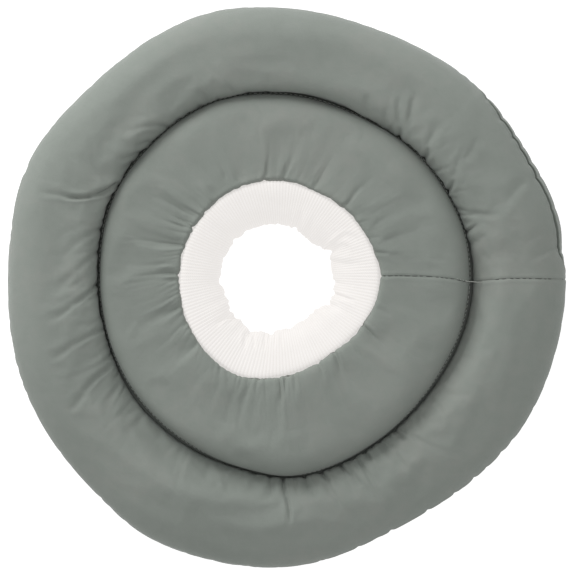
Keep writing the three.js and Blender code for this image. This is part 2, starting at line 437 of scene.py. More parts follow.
def around(rows, column):
    """Smooth closed curve through a table's rows, read at any direction."""
    d0, v0 = rows["deg"], rows[column]
    d = np.concatenate([d0[-2:] - 360, d0, d0[:2] + 360])
    v = np.concatenate([v0[-2:], v0, v0[:2]])
    m = np.zeros(len(d))
    m[1:-1] = (v[2:] - v[:-2]) / (d[2:] - d[:-2])

    def read(deg):
        q = np.mod(deg, 360.0)
        i = np.clip(np.searchsorted(d, q, side="right") - 1, 1, len(d) - 3)
        h = d[i + 1] - d[i]
        t = (q - d[i]) / h
        return ((2 * t**3 - 3 * t**2 + 1) * v[i] + (t**3 - 2 * t**2 + t) * h * m[i]
                + (3 * t**2 - 2 * t**3) * v[i + 1] + (t**3 - t**2) * h * m[i + 1])
    return read


def along(rows, column):
    """Straight-line reading of a table, closed round the collar."""
    d = np.concatenate([rows["deg"][-1:] - 360, rows["deg"], rows["deg"][:1] + 360])
    v = np.concatenate([rows[column][-1:], rows[column], rows[column][:1]])

    def read(deg):
        q = np.mod(deg, 360.0)
        i = np.clip(np.searchsorted(d, q, side="right") - 1, 0, len(d) - 2)
        t = (q - d[i]) / (d[i + 1] - d[i])
        t = t * t * (3 - 2 * t)
        return v[i] * (1 - t) + v[i + 1] * t
    return read


def ray(deg, r, centre=(0.0, 0.0)):
    a = np.radians(deg)
    return np.stack([centre[0] + r * np.cos(a), centre[1] + r * np.sin(a)], -1) + SHIFT


def smoothstep(lo, hi, x):
    t = np.clip((x - lo) / (hi - lo), 0, 1)
    return t * t * (3 - 2 * t)


def turn(a, b):
    return np.mod(a - b + 180.0, 360.0) - 180.0


def to_plan(x, y):
    """Picture units to millimetres on the collar, at the seams' height."""
    return np.stack([(np.asarray(x) - PICTURE_CENTRE[0]) * PX, (PICTURE_CENTRE[1] - np.asarray(y)) * PX], -1) + SHIFT


def seen(points):
    """Where a camera straight above sees points, as places at the seams' height."""
    k = CAMERA_Z / (CAMERA_Z - (points[..., 2] - 20.0))
    return points[..., :2] * k[..., None]


def bend(p0, p1, p2, n=7):
    """Points on the smooth curve through three points."""
    t = np.linspace(0, 1, n)[:, None]
    c = 2 * p1 - (p0 + p2) / 2
    return (1 - t) ** 2 * p0 + 2 * t * (1 - t) * c + t**2 * p2


def to_path(flat, path):
    """Distance to a path, signed left or right of it, and how far along it the nearest place is."""
    best = np.full(len(flat), 1e9)
    side = np.zeros(len(flat))
    where = np.zeros(len(flat))
    seg = path[1:] - path[:-1]
    length = np.linalg.norm(seg, axis=1)
    start = np.concatenate([[0], np.cumsum(length)])
    for k in range(len(seg)):
        d = seg[k] / max(length[k], 1e-9)
        rel = flat - path[k]
        s = np.clip(rel @ d, 0, length[k])
        off = rel - s[:, None] * d
        r = np.hypot(off[:, 0], off[:, 1])
        m = r < best
        best[m] = r[m]
        side[m] = np.sign(d[0] * rel[m, 1] - d[1] * rel[m, 0])
        where[m] = (start[k] + s[m]) / start[-1]
    return best, side, where


def fold_field(points, folds, lip=0.22):
    """Depth of all folds at the points: valleys with slightly raised lips, steeper on one side."""
    flat = seen(points).reshape(-1, 2)
    out = np.zeros(len(flat))
    for k in range(len(folds["deep"])):
        row = {c: folds[c][k] for c in folds}
        p = [to_plan(row[f"x{i}"], row[f"y{i}"]) for i in range(3)]
        path = bend(*p)
        reach = 5 * row["wide"] + 1
        near = np.all((flat > path.min(0) - reach) & (flat < path.max(0) + reach), axis=1)
        if not near.any():
            continue
        d, side, s = to_path(flat[near], path)
        fade = smoothstep(-0.05, 0.06, s) * (1 - smoothstep(0.5, 1.0, s))
        # past the faint end the distance to the end point takes over, and the fade has reached 0
        w = row["wide"] * (1.0 + 0.4 * s) * np.where(side * np.sign(row["deep"]) > 0, 0.75, 1.25)
        valley = np.exp(-(d / w) ** row["point"])
        lips = lip * np.exp(-((d - 2.3 * w) / (0.9 * w)) ** 2)
        out[near] -= row["deep"] * fade * (valley - lips)
    return out.reshape(points.shape[:-1])


def ripples(deg, arc, count, seed, deep, wide, reach):
    """Small random puckers that start at a seam (arc 0) and die out along the surface."""
    rng = np.random.default_rng(seed)
    out = np.zeros(np.broadcast(deg, arc).shape)
    for _ in range(count):
        at = rng.uniform(0, 360)
        d = deep * rng.uniform(0.3, 1.0)
        w = wide * rng.uniform(0.6, 1.5)
        long = reach * rng.uniform(0.5, 1.4)
        lean = rng.uniform(-0.12, 0.12)
        off = turn(deg, at + lean * arc)
        hit = np.abs(off) < 4 * w
        if hit.any():
            bump = d * np.exp(-(off / w) ** 2) * np.exp(-(np.abs(arc) / long) ** 1.6)
            out -= np.where(hit, bump, 0)
    return out


def gathers(deg, arc, r, rows, seed, edge=3.0):
    """Seeded puckers along a sewn edge (arc 0): narrow valleys that swing a little as they fade."""
    rng = np.random.default_rng(seed)
    out = np.zeros(arc.shape)
    for k in range(len(rows["count"])):
        row = {c: rows[c][k] for c in rows}
        count = int(row["count"])
        slots = row["lo"] + (np.arange(count) + rng.uniform(0.1, 0.9, count)) * (row["hi"] - row["lo"]) / count
        for at in slots:
            deep = row["deep"] * rng.choice([0.45, 0.8, 1.0, 1.5]) * rng.uniform(0.7, 1.2)
            wide = row["wide"] * rng.uniform(0.55, 1.3) * np.degrees(1 / r)
            long = row["long"] * rng.uniform(0.5, 1.35)
            swing = row["swing"] + rng.normal() * 0.05
            curl = rng.normal() * 0.002
            start = rng.uniform(-3.0, 1.0)
            span = 5 * wide + (abs(swing) + 0.1) * long * 1.6
            rows_near = np.abs(turn(deg, at)) < span
            a = arc[rows_near]
            off = turn(deg[rows_near][:, None], at + swing * a + curl * a * np.abs(a))
            w = wide * (0.8 + 0.5 * np.clip(a / long, 0, 1.5))
            valley = np.exp(-np.abs(off / w) ** 1.5) - 0.25 * np.exp(-((np.abs(off) - 2.2 * w) / w) ** 2)
            fade = np.exp(-(np.clip(a - start, 0, None) / long) ** 2.2) * smoothstep(-2.0, edge, a)
            out[rows_near] -= deep * valley * fade
    return out


def lumps(deg, across, seed, amount, kmax=9):
    """Broad unevenness of the filling, closed round the collar."""
    rng = np.random.default_rng(seed)
    out = np.zeros(np.broadcast(deg, across).shape)
    for _ in range(14):
        k = rng.integers(2, kmax)
        out = out + rng.normal() * np.cos(k * np.radians(deg) + rng.uniform(0, 6.28) + across * rng.uniform(-2.5, 2.5)) / math.sqrt(k)
    return amount * out / np.abs(out).max()


def normals(grid):
    """Unit normals of a closed grid (round the collar, round the section), pointing out."""
    du = np.roll(grid, -1, 0) - np.roll(grid, 1, 0)
    dv = np.roll(grid, -1, 1) - np.roll(grid, 1, 1)
    n = np.cross(dv, du)
    n /= np.maximum(np.linalg.norm(n, axis=-1, keepdims=True), 1e-12)
    mid = grid.mean(1, keepdims=True)
    if ((grid - mid) * n).sum() < 0:
        n = -n
    return n


def floor_flat(z, soft=1.4):
    """The underside lies flat on the surface, with a soft edge."""
    flat = 0.5 * (z + np.sqrt(z * z + soft * soft))
    return np.maximum(flat - 0.16, 0.0)


def arc_from(grid, j):
    """Distance along the section from column j, positive with the columns."""
    step = np.linalg.norm(np.roll(grid, -1, 1) - grid, axis=-1)
    run = np.concatenate([np.zeros((len(grid), 1)), np.cumsum(step, 1)[:, :-1]], 1)
    return run - run[:, j:j + 1]


def even_copy(deg, stack, n, m):
    """Fields of a closed grid (the first three are the place) on n even directions by m columns, which
    are evenly spaced along each section."""
    ring = np.concatenate([stack, stack[:1]])
    at = np.append(deg, 360.0)
    want = np.arange(n) * 360.0 / n
    i = np.clip(np.searchsorted(at, want, side="right") - 1, 0, len(deg) - 1)
    t = ((want - at[i]) / (at[i + 1] - at[i]))[:, None, None]
    rows = ring[i] * (1 - t) + ring[i + 1] * t
    part = section_part(rows[..., :3])
    rows = np.concatenate([rows, rows[:, :1]], 1)
    s = np.arange(m) / m
    return np.array([[np.interp(s, part[k], rows[k, :, c]) for c in range(stack.shape[2])] for k in range(n)]).transpose(0, 2, 1)


def section_part(grid):
    """How far round its section each column lies, 0 to 1, with the closing column."""
    step = np.linalg.norm(np.roll(grid, -1, 1) - grid, axis=-1)
    run = np.concatenate([np.zeros((len(grid), 1)), np.cumsum(step, 1)], 1)
    return run / run[:, -1:]


def read_even(field, deg, part):
    """Smooth reading of a field on the even grid."""
    n, m = field.shape
    x, y = deg / 360.0 * n, part * m
    i, j = np.floor(x).astype(int), np.floor(y).astype(int)

    def weights(t):
        return ((1 - t) ** 3 / 6, (3 * t**3 - 6 * t**2 + 4) / 6, (-3 * t**3 + 3 * t**2 + 3 * t + 1) / 6, t**3 / 6)

    out = np.zeros(np.broadcast(x, y).shape)
    for a, wa in enumerate(weights(x - i)):
        for b, wb in enumerate(weights(y - j)):
            out += wa * wb * field[(i + a - 1) % n, (j + b - 1) % m]
    return out


def blurred(field, rows, cols):
    """Mean over a window that closes round the grid, three times over."""
    for axis, width in ((0, rows), (1, cols)):
        for _ in range(3):
            field = sum(np.roll(field, k, axis) for k in range(-width, width + 1)) / (2 * width + 1)
    return field


def held_at(grid, arc_a, arc_b, reach):
    """1 where a tube is sewn or lies on the surface, 0 where its cloth is free."""
    sewn = np.maximum(np.exp(-(arc_a / reach) ** 4), np.exp(-(arc_b / reach) ** 4))
    return np.maximum(sewn, 1 - smoothstep(6.0, 14.0, grid[..., 2]))


def loose_at(deg, arc, rows, least):
    """How much too large the cloth is cut, 0 to 1: by a gather table's stretches, less away from the edge."""
    mids = {"deg": np.mod((rows["lo"] + rows["hi"]) / 2, 360.0), "deep": rows["deep"], "long": rows["long"]}
    order = np.argsort(mids["deg"])
    mids = {k: v[order] for k, v in mids.items()}
    much = along(mids, "deep")(deg)[:, None] / rows["deep"].max()
    far = 1.4 * along(mids, "long")(deg)[:, None]
    return np.clip(least + (1 - least) * much ** 1.3 * np.exp(-(arc / far) ** 2), 0, 1)


def cloth_relief(name, deg, grid, held, loose, n, m):
    """Wrinkles from Blender's cloth solver, as a height over the grid (mm). An even copy of the tube is
    cut a little too large, held at its seams and blown up by its filling. What the solver moves it by,
    less the broad swelling, is the relief. The copy is removed, and the movement is capped."""
    even = even_copy(deg, np.concatenate([grid, held[..., None], loose[..., None]], -1), n, m)
    start, hold = even[..., :3], even[..., 3]
    i, j = np.meshgrid(np.arange(n), np.arange(m), indexing="ij")
    i1, j1 = (i + 1) % n, (j + 1) % m
    quads = np.stack([i * m + j, i1 * m + j, i1 * m + j1, i * m + j1], -1).reshape(-1, 4)
    obj = make_mesh(name, start.reshape(-1, 3) * SOLVER_SCALE, quads)
    flat = hold.ravel()
    sewn = obj.vertex_groups.new(name="sewn")
    sewn.add(np.nonzero(flat > 0.5)[0].tolist(), 1.0, "REPLACE")
    snug = obj.vertex_groups.new(name="snug")
    level = np.round(12 * (1 - even[..., 4].ravel())).astype(int)
    for k in range(1, 13):
        snug.add(np.nonzero(level == k)[0].tolist(), k / 12, "REPLACE")
    cloth = obj.modifiers.new("cloth", "CLOTH")
    s = cloth.settings
    s.quality = 6
    s.mass = SOLVER["mass"]
    s.tension_stiffness = SOLVER["tension"]
    s.compression_stiffness = SOLVER["compression"]
    s.shear_stiffness = SOLVER["shear"]
    s.bending_stiffness = SOLVER["bending"]
    s.air_damping = 1.0
    s.vertex_group_mass = "sewn"
    s.vertex_group_shrink = "snug"
    s.shrink_min, s.shrink_max = -SOLVER["slack"], 0.0
    s.use_pressure = True
    s.uniform_pressure_force = SOLVER["pressure"]
    s.effector_weights.gravity = 0.0
    cloth.collision_settings.use_collision = False
    cloth.point_cache.frame_start, cloth.point_cache.frame_end = 1, SOLVER["frames"]
    for frame in range(1, SOLVER["frames"] + 1):
        bpy.context.scene.frame_set(frame)
    moved = obj.evaluated_get(bpy.context.evaluated_depsgraph_get())
    mesh = moved.to_mesh()
    co = np.zeros(len(mesh.vertices) * 3, np.float32)
    mesh.vertices.foreach_get("co", co)
    moved.to_mesh_clear()
    bpy.context.scene.frame_set(1)
    data = obj.data
    bpy.data.objects.remove(obj)
    bpy.data.meshes.remove(data)
    moved_by = co.reshape(n, m, 3) * 1000.0 / SOLVER_SCALE - start
    height = (moved_by * normals(start)).sum(-1)
    height = height - blurred(height, 7, 4)
    print("cloth", name, "moved up to", round(float(np.abs(moved_by).max()), 2), "relief sd", round(float(height.std()), 3),
          "from", round(float(height.min()), 2), "to", round(float(height.max()), 2))
    height = RELIEF_CAP * np.tanh(SOLVER["gain"] * height / RELIEF_CAP)
    return read_even(height, deg[:, None], section_part(grid)[:, :-1])


# ---- meshes --------------------------------------------------------------------------------------

def make_mesh(name, verts, faces, uvs=None, smooth=True):
    """verts in mm. uvs: one (u, v) in metres for each face corner."""
    mesh = bpy.data.meshes.new(name)
    faces = np.asarray(faces, np.int32)
    k = faces.shape[1]
    mesh.vertices.add(len(verts))
    mesh.vertices.foreach_set("co", (np.asarray(verts, float) * 0.001).astype(np.float32).ravel())
    mesh.loops.add(faces.size)
    mesh.loops.foreach_set("vertex_index", faces.ravel())
    mesh.polygons.add(len(faces))
    mesh.polygons.foreach_set("loop_start", np.arange(0, faces.size, k, dtype=np.int32))
    mesh.polygons.foreach_set("loop_total", np.full(len(faces), k, np.int32))
    mesh.update(calc_edges=True)
    if uvs is not None:
        layer = mesh.uv_layers.new(name="fabric")
        layer.data.foreach_set("uv", np.asarray(uvs, np.float32).ravel())
    mesh.polygons.foreach_set("use_smooth", np.full(len(faces), smooth, bool))
    mesh.validate()
    obj = bpy.data.objects.new(name, mesh)
    bpy.context.scene.collection.objects.link(obj)
    return obj


def closed_grid(name, grid, uv_grid_pairs):
    """A closed surface of quads. uv_grid_pairs: corner coordinates, shape (n, m, 4, 2)."""
    n, m = grid.shape[:2]
    i, j = np.meshgrid(np.arange(n), np.arange(m), indexing="ij")
    i1, j1 = (i + 1) % n, (j + 1) % m
    quads = np.stack([i * m + j, i * m + j1, i1 * m + j1, i1 * m + j], -1).reshape(-1, 4)
    uv = uv_grid_pairs.reshape(-1, 4, 2)
    a, b, c = grid.reshape(-1, 3)[quads[:, 0]], grid.reshape(-1, 3)[quads[:, 1]], grid.reshape(-1, 3)[quads[:, 2]]
    centre = grid.mean(1).repeat(m, 0)
    if (np.cross(b - a, c - a) * ((a + c) / 2 - centre)).sum() < 0:
        quads, uv = quads[:, ::-1], uv[:, ::-1]
    return make_mesh(name, grid.reshape(-1, 3), quads, uv.reshape(-1, 2))


def panel_uv(deg, grid, j_top, j_seam):
    """Flat-pattern coordinates: each panel is a flat ring cut from cloth, so its threads run straight
    across it. j_top is the crown's column, j_seam the column of the outer seam."""
    n, m = grid.shape[:2]
    arc = arc_from(grid, 0)
    arc = np.concatenate([arc, (arc[:, -1] + np.linalg.norm(grid[:, 0] - grid[:, -1], axis=-1))[:, None]], 1)
    crown_r = np.hypot(grid[:, j_top, 0], grid[:, j_top, 1])
    top = crown_r[:, None] + (arc - arc[:, j_top:j_top + 1])
    j_low = (j_seam + m) // 2
    under = crown_r[:, None] - (arc - arc[:, j_low:j_low + 1])
    a = np.radians(deg)

    def spread(rho):
        return np.stack([rho * np.cos(a)[:, None], rho * np.sin(a)[:, None]], -1) * 0.001

    t, b = spread(top), spread(under) + 0.8
    out = np.zeros((n, m, 4, 2))
    nxt = np.roll(np.arange(n), -1)
    for grid_uv, cols in ((t, np.arange(0, j_seam)), (b, np.arange(j_seam, m))):
        out[:, cols, 0] = grid_uv[:, cols]
        out[:, cols, 1] = grid_uv[:, cols + 1]
        out[:, cols, 2] = grid_uv[nxt][:, cols + 1]
        out[:, cols, 3] = grid_uv[nxt][:, cols]
    return out


rim_r, channel_r = around(TUBES, "rim"), around(TUBES, "channel")
seam_r, hole_r = around(CUFF, "seam"), around(CUFF, "hole")
seam_up, seam_open = along(RIM_SEAM, "up"), along(RIM_SEAM, "open")
gap_w, gap_lean = around(CHANNEL, "gap"), around(CHANNEL, "lean")
sag, tall_outer, skew = (around(CHANNEL, c) for c in ("sag", "tall", "skew"))
full_outer, full_edge, full_inner = (around(CHANNEL, c) for c in ("outer", "edge", "inner"))


def directions(n, folds, centre, seam_at, spread=3.2):
    """n directions round the collar, closer together where there are folds and at the closing seam."""
    fine = np.linspace(0, 360, 7201)
    density = np.ones_like(fine)
    for k in range(len(folds["deep"])):
        p = to_plan(folds["x1"][k], folds["y1"][k]) - centre - SHIFT
        at = np.degrees(np.arctan2(p[1], p[0]))
        density += min(abs(folds["deep"][k]), 1.5) * 1.3 * np.exp(-(turn(fine, at) / spread) ** 2)
    density = np.minimum(density, 2.6)
    density += 7.0 * np.exp(-(turn(fine, seam_at) / 1.5) ** 4)
    run = np.concatenate([[0], np.cumsum((density[1:] + density[:-1]) / 2)])
    return np.interp(np.arange(n) / n * run[-1], run, fine)


def section_columns(n, lo, hi, half, crown, power_lo, power_hi, near_lo, near_hi):
    """n section angles from lo to hi (deg), evenly spaced by reach but closer at the two ends."""
    phi = np.linspace(lo, hi, 4001)
    c, s = np.cos(np.radians(phi)), np.sin(np.radians(phi))
    power = np.where(c < 0, power_lo, power_hi)
    x = np.sign(c) * np.abs(c) ** (2 / power) * half
    z = np.sign(s) * np.abs(s) ** (2 / power) * crown
    run = np.concatenate([[0], np.cumsum(np.hypot(np.diff(x), np.diff(z)))])
    density = 1 + near_lo * np.exp(-(run / 6.0) ** 2) + near_hi * np.exp(-((run[-1] - run) / 6.0) ** 2)
    total = np.concatenate([[0], np.cumsum((density[1:] + density[:-1]) / 2 * np.diff(run))])
    return np.interp(np.arange(n) / n * total[-1], total, phi)


def crease(points, mask):
    """The closing seam: a pulled line with pinched stitches, in the same plan view as the folds."""
    flat = seen(points).reshape(-1, 2)
    path = to_plan(CLOSING_SEAM["x"], CLOSING_SEAM["y"])
    near = np.abs(flat[:, 1] - path[:, 1].mean()) < 9
    near &= flat[:, 0] > 40
    out = np.zeros(len(flat))
    d, _, s = to_path(flat[near], path)
    total = np.linalg.norm(np.diff(path, axis=0), axis=1).sum()
    run = s * total
    cycle = np.abs(np.mod(run / 2.6 + 0.12 * np.sin(run * 0.31), 1.0) - 0.5) * 2   # 1 at a stitch
    pinch = smoothstep(0.72, 0.95, cycle)
    line = -(0.40 - 0.34 * pinch) * np.exp(-(d / 0.32) ** 2)
    pillow = (0.22 - 0.16 * pinch) * np.exp(-((d - 1.5) / 1.1) ** 2)
    shallow = -0.22 * np.exp(-(d / 2.6) ** 2)
    out[near] = line + pillow + shallow
    return out.reshape(points.shape[:-1]) * mask


def outer_tube():
    n = 960
    deg = directions(n, OUTER_FOLDS, np.zeros(2), 1.85)
    up = seam_up(deg)[:, None]
    # columns: over the top from the channel to the rim seam, across the seam, then under
    top = section_columns(66, 180, 0, 23.5, 21, 2.7, FULLNESS, 1.3, 0.3)
    top = 180 + (top - 180) * (180 - up - 7.5) / 180
    u = np.linspace(-1, 1, 15)[:-1]
    seam = up - 7.5 * np.sign(u) * np.abs(u) ** 1.4
    low = section_columns(24, 0, -180, 23.5, 19, 2.7, FULLNESS, 3.0, 0.4)
    low = up - 7.5 + low * (180 + up - 7.5) / 180
    phi = np.radians(np.concatenate([top, seam, low], 1))
    j_seam = 73
    gap = gap_w(deg)
    a = ray(deg, channel_r(deg) + gap / 2 - BULGE_BACK)
    b = ray(deg, rim_r(deg) + 0.5 * smoothstep(8, 22, up[:, 0]) - 1.1 * np.exp(-(turn(deg, 8.2) / 2.8) ** 2))
    half = np.linalg.norm(b - a, axis=1)[:, None] / 2
    c, s = np.cos(phi), np.sin(phi)
    power = np.where(c < 0, full_outer(deg)[:, None], np.where(s > 0, full_edge(deg)[:, None], FULLNESS))
    sx, sz = np.sign(c) * np.abs(c) ** (2 / power), np.sign(s) * np.abs(s) ** (2 / power)
    across = 0.5 + 0.5 * sx
    crown = OUTER_CROWN * half * tall_outer(deg)[:, None] * (1 + lumps(deg[:, None], 0 * phi, 3, 0.022))
    z = np.where(s > 0, sz * crown, sz * BELLY)
    # the wall over the channel leans away where the channel is open
    lean = gap_lean(deg)[:, None] * (1 - across) ** 6 * smoothstep(3.0, 12.0, z)
    x = half * sx + lean - skew(deg)[:, None] * np.clip(sz, 0, 1) ** 1.5 * (1 - sx * sx)
    z = np.where(z > 0, z * (1 - sag(deg)[:, None] * np.exp(-(across * 2 * half / SAG_REACH) ** 2.4)), z)
    x = x + CHANNEL_GROOVE * np.exp(-(np.abs(z) / CHANNEL_REACH) ** 1.5) * (c < 0)
    t = 0.5 + x / (2 * half)
    xy = a[:, None] + (b - a)[:, None] * t[..., None]
    grid = np.concatenate([xy, (SEAM_Z + z)[..., None]], -1)

    nor = normals(grid)
    arc_in = arc_from(grid, 0)
    arc_rim = arc_from(grid, j_seam)
    upper = smoothstep(-3.0, 1.5, z)
    d = lumps(deg[:, None], 6 * across, 11, 0.5, 26) * smoothstep(0, 12, arc_in) * upper
    d = d + fold_field(grid, OUTER_FOLDS, 0.14) * upper
    d = d + gathers(deg, arc_in, 104.0, OUTER_GATHERS, 5, 14.0) * upper
    # the rim seam: a valley between the panels, the front panel's lip, and puckers both sides
    opened = seam_open(deg)[:, None]
    rolled = smoothstep(8, 22, up)
    d = d - (1 - rolled) * opened * np.exp(-(np.abs(arc_rim) / (0.55 + 0.22 * opened)) ** 1.6)
    d = d + 0.35 * (1 - rolled) * np.exp(-((arc_rim + 1.9) / 1.0) ** 2)
    notch = np.zeros_like(arc_rim)
    for at, deep, wide in zip(RIM_NOTCHES["deg"], RIM_NOTCHES["deep"], RIM_NOTCHES["wide"]):
        notch += deep * np.exp(-(np.abs(turn(deg, at)) / (wide * 0.62)) ** 1.3)[:, None]
    side = np.where(arc_rim > 0, np.exp(-(arc_rim / 16.0) ** 2), np.exp(-(arc_rim / (5.5 - 3.2 * rolled)) ** 2))
    d = d - notch * side
    d = d + ripples(deg[:, None], arc_rim, 150, 21, 0.30, 0.75, 4.0)
    d = d + rolled * ripples(deg[:, None], arc_rim - 1.0, 120, 23, 0.55, 0.9, 2.2)
    grid = grid + nor * d[..., None]
    # where the tube has rolled, the front panel's edge stands out over the strip of the back panel
    out = (b - a) / (2 * half)
    tuck = np.where(arc_rim < 0, np.exp(-(arc_rim / 0.45) ** 2), np.exp(-(arc_rim / 1.5) ** 2))
    push = rolled * (0.55 * np.exp(-((arc_rim + 1.1) / 0.8) ** 2) - 1.0 * opened * tuck)
    drop = rolled * (1.0 + 0.8 * opened) * smoothstep(-0.15, 0.7, arc_rim) * (1 - smoothstep(5.0, 14.0, arc_rim))
    drop = drop + rolled * 1.5 * opened * np.exp(-((arc_rim - 1.5) / 0.95) ** 2)
    drop = drop + rolled * 2.2 * smoothstep(2.5, 7.0, arc_rim) * (1 - smoothstep(9.0, 20.0, arc_rim))
    grid[..., :2] += out[:, None] * push[..., None]
    grid[..., 2] -= drop
    relief = cloth_relief("outer_tube_in_the_solver", deg, grid, held_at(grid, arc_in, arc_rim, 3.0),
                          loose_at(deg, arc_in, OUTER_GATHERS, 0.05), 520, 84)
    relief = relief * (0.25 + 0.75 * (1 - smoothstep(34, 56, arc_in)))
    grid = grid + nor * (relief * upper)[..., None]
    d2 = crease(grid, upper)
    grid = grid + nor * d2[..., None]
    grid[..., 2] = floor_flat(grid[..., 2])
    return deg, grid, j_seam


def inner_tube():
    n = 1020
    deg = directions(n, INNER_FOLDS, CUFF_CENTRE, 1.0, 4.5)
    top = section_columns(70, 180, 0, 22.5, 17, 4.0, 2.9, 0.8, 1.0)
    low = section_columns(26, 0, -180, 22.5, 19, 3.0, 2.9, 0.6, 0.6)
    phi = np.radians(np.concatenate([top, low]))[None] * np.ones((n, 1))
    j_seam = 70
    gap = gap_w(deg)
    a = ray(deg, seam_r(deg) + 0.15, CUFF_CENTRE)
    b = ray(deg, channel_r(deg) - gap / 2 + BULGE_BACK)
    half = np.linalg.norm(b - a, axis=1)[:, None] / 2
    c, s = np.cos(phi), np.sin(phi)
    power = np.where(c < 0, CUFF_FULL, full_inner(deg)[:, None])
    sx, sz = np.sign(c) * np.abs(c) ** (2 / power), np.sign(s) * np.abs(s) ** (2 / power)
    across = 0.5 + 0.5 * sx
    crown = INNER_CROWN * half * (1 + lumps(deg[:, None], 0 * phi, 4, 0.02))
    crown = crown * (1 - CUFF_DROP * np.where(c < 0, np.abs(sx) ** 1.6, 0))
    z = np.where(s > 0, sz * crown, sz * BELLY)
    lift = 1.0 * (0.5 + 0.5 * np.cos(np.radians(deg - 105.0)))[:, None]
    z = np.where(s > 0, z + lift * np.exp(-((0.5 + 0.5 * sx) * 2 * half / 2.6) ** 2) * smoothstep(6, 14, z), z)
    pull = np.where(c < 0, CUFF_GROOVE * np.exp(-(np.abs(z) / 5.0) ** 2),
                    CHANNEL_GROOVE * np.exp(-(np.abs(z) / CHANNEL_REACH) ** 1.5))
    x = half * sx - np.sign(c) * pull
    t = 0.5 + x / (2 * half)
    xy = a[:, None] + (b - a)[:, None] * t[..., None]
    grid = np.concatenate([xy, (SEAM_Z + z)[..., None]], -1)

    nor = normals(grid)
    arc_in = arc_from(grid, 0)
    arc_out = arc_from(grid, j_seam)
    upper = smoothstep(-3.0, 1.5, z)
    d = lumps(deg[:, None], 6 * across, 12, 0.45, 24) * smoothstep(0, 12, arc_in) * smoothstep(0, 12, -arc_out) * upper
    d = d + fold_field(grid, INNER_FOLDS) * upper
    d = d + gathers(deg, arc_in - 14.0, 55.0, INNER_GATHERS, 8, 1.0) * upper
    d = d + gathers(deg, -arc_out, 100.0, INNER_WALL_GATHERS, 9) * upper
    grid = grid + nor * d[..., None]
    relief = cloth_relief("inner_tube_in_the_solver", deg, grid, held_at(grid, arc_in, arc_out, 3.0),
                          loose_at(deg, arc_in - 10.0, INNER_GATHERS, 0.05), 480, 64)
    grid = grid + nor * (relief * upper)[..., None]
    d2 = crease(grid, upper)
    grid = grid + nor * d2[..., None]
    grid[..., 2] = floor_flat(grid[..., 2])
    return deg, grid, j_seam


def stitched_strip():
    n = 900
    deg = np.linspace(0, 360, n, endpoint=False)
    profile = table("""
across  height
3.2     0.40
2.0     0.45
1.15    0.60
0.85    2.20
0.50    2.85
0.0     2.70
-0.50   2.85
-0.85   2.20
-1.15   0.60
-2.0    0.45
-3.2    0.40
-3.2    -0.40
-1.2    -0.60
-0.6    -2.60
0.0     -2.50
0.6     -2.60
1.2     -0.60
3.2     -0.40
""")
    room = table("""
deg  half
15   2.10
75   2.15
105  2.25
135  2.05
165  2.45
195  2.80
225  2.25
250  1.70
285  1.55
315  1.65
340  1.95
""")
    x, h = profile["across"], profile["height"]
    half = around(room, "half")(deg)[:, None]
    x = np.where(np.abs(x) > 1.2, np.sign(x) * (1.2 + (np.abs(x) - 1.2) * (half - 1.2) / 2.0), x)
    r = channel_r(deg)[:, None] + x
    wob = 0.14 * np.sin(np.radians(deg) * 243)[:, None] * np.exp(-(x / 1.2) ** 2)
    xy = ray(deg[:, None] + 0 * x, r)
    grid = np.concatenate([xy, (SEAM_Z + h + wob * np.sign(h))[..., None]], -1)
    return deg, grid


def threads(name, centres, along_dir, normal, length, radius, lift, seed):
    """Short thread stitches as one joined mesh: each a bowed tube whose ends dive into the cloth."""
    rng = np.random.default_rng(seed)
    rings, sides = 6, 6
    n = len(centres)
    t = np.linspace(-1, 1, rings)
    ang = np.linspace(0, 2 * np.pi, sides, endpoint=False)
    jit = 1 + 0.12 * rng.normal(size=n)
    binormal = np.cross(normal, along_dir)
    bow = lift * (1 - t**2) - 0.55 * radius * 2 * t**4
    thick = radius * np.sqrt(np.clip(1 - 0.55 * t**4, 0, 1))
    pos = (centres[:, None] + along_dir[:, None] * (t * 0.5)[None, :, None] * (length * jit)[:, None, None]
           + normal[:, None] * bow[None, :, None])
    ringv = (pos[:, :, None]
             + (np.cos(ang)[None, None, :, None] * binormal[:, None, None]
                + np.sin(ang)[None, None, :, None] * normal[:, None, None]) * thick[None, :, None, None])
    verts = ringv.reshape(n, rings * sides, 3)
    verts = np.concatenate([verts, pos[:, :1], pos[:, -1:]], 1)
    per = rings * sides + 2
    tris = []
    for k in range(rings - 1):
        for q in range(sides):
            p0, p1 = k * sides + q, k * sides + (q + 1) % sides
            p2, p3 = p1 + sides, p0 + sides
            tris += [(p0, p1, p2), (p0, p2, p3)]
    for q in range(sides):
        tris.append((rings * sides, (q + 1) % sides, q))
        tris.append((rings * sides + 1, (rings - 1) * sides + q, (rings - 1) * sides + (q + 1) % sides))
    tris = np.array(tris)
    faces = (tris[None] + (np.arange(n) * per)[:, None, None]).reshape(-1, 3)
    v = verts.reshape(-1, 3)
    f0 = v[faces[0]]
    if np.dot(np.cross(f0[1] - f0[0], f0[2] - f0[0]), f0.mean(0) - centres[0]) < 0:
        faces = faces[:, ::-1]
    return make_mesh(name, v, faces)


